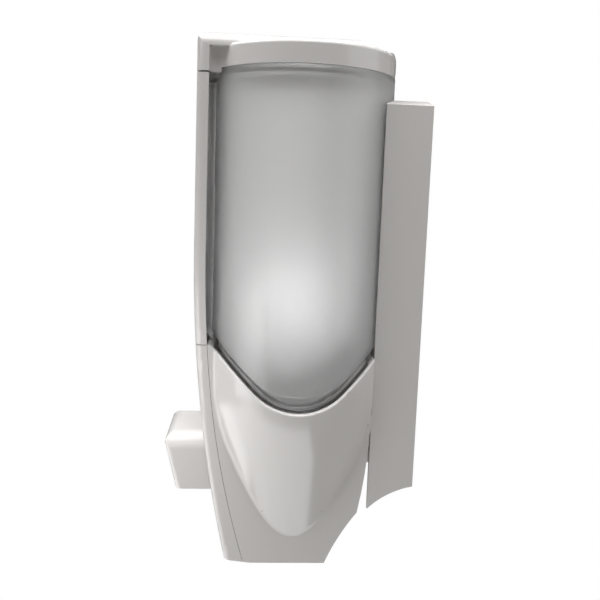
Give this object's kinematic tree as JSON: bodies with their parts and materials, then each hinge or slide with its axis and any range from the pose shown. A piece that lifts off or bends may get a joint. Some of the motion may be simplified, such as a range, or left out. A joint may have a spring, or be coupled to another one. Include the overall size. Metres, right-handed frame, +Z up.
{
  "type": "wall mounted soap dispenser",
  "caption": "Wall mounted soap dispenser with a frosted round tank, a hinged lid, a front push button pump and a slim bracket behind it.",
  "frame": {"origin": "centre of the wall bracket's back face, in the plane of the wall", "axes": "+Y into the wall, +Z up, +X along the wall; the push button and the lid's front face -Y"},
  "size_m": [0.0776, 0.1022, 0.2108],
  "materials": {
    "white_gloss": "glossy moulded ABS",
    "frosted_plastic": "frosted translucent SAN",
    "grey_plastic": "moulded acetal",
    "natural_plastic": "natural polypropylene",
    "seal_rubber": "silicone",
    "steel": "stainless"
  },
  "bodies": {
    "dispenser": {"wall_bracket": "white_gloss", "housing": "white_gloss", "base_plate": "white_gloss", "base_screws": "steel", "front_cover": "white_gloss", "cover_screws": "steel", "front_strip": "white_gloss", "tank": "frosted_plastic", "tank_gasket": "seal_rubber", "tank_nut": "grey_plastic", "inlet_oring": "seal_rubber", "pump_body": "natural_plastic", "pump_screws": "steel", "pump_cap": "grey_plastic", "inlet_seat": "natural_plastic", "outlet_spring": "steel", "nozzle": "natural_plastic", "return_spring": "steel", "hinge_pin": "steel"},
    "lid": {"lid": "white_gloss", "lid_seal": "seal_rubber"},
    "plunger": {"push_button": "white_gloss", "piston": "grey_plastic", "piston_seals": "seal_rubber"},
    "inlet_valve": {"inlet_ball": "steel"},
    "outlet_valve": {"outlet_ball": "steel"}
  },
  "joints": [
    {"name": "lid_hinge", "type": "hinge", "parent": "dispenser", "child": "lid", "pos_m": [0, -0.0169, 0.0916], "axis": [-1, 0, 0], "range_deg": [0, 92]},
    {"name": "button_press", "type": "slide", "parent": "dispenser", "child": "plunger", "axis": [0, 1, 0], "range_m": [0, 0.01], "stiffness_N_per_m": 300, "springref_m": -0.005, "deforming": ["return_spring"]},
    {"name": "inlet_ball_lift", "type": "slide", "parent": "dispenser", "child": "inlet_valve", "axis": [0, 0, 1], "range_m": [0, 0.00145]},
    {"name": "outlet_ball_drop", "type": "slide", "parent": "dispenser", "child": "outlet_valve", "axis": [0, 0, -1], "range_m": [0, 0.0012], "stiffness_N_per_m": 50, "springref_m": -0.002, "deforming": ["outlet_spring"]}
  ]
}
